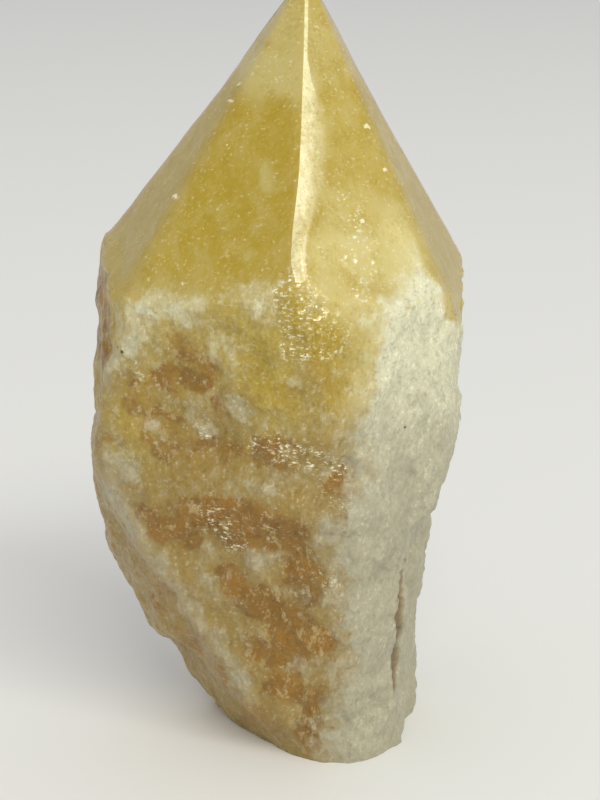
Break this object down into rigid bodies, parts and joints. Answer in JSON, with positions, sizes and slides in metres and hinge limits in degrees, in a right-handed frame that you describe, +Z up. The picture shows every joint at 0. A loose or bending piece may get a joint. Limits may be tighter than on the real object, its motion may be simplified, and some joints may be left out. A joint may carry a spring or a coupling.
{
  "type": "orange calcite point",
  "caption": "Standing stone of honey-orange calcite with a ground, polished pyramid tip, rough white-crusted sides and a flat sawn base.",
  "frame": {"origin": "on the plane of the sawn base, under the middle of the stone's outer box", "axes": "+Z up from the sawn base towards the ground tip, -Y towards the front edge of the tip, which is the pictured side, +X to the right as seen from the front"},
  "size_m": [0.0658, 0.0596, 0.1313],
  "materials": {
    "honey_calcite": "polished tip, rough sugary sides with white crust"
  },
  "bodies": {
    "root": {"calcite_point": "honey_calcite"}
  },
  "joints": []
}
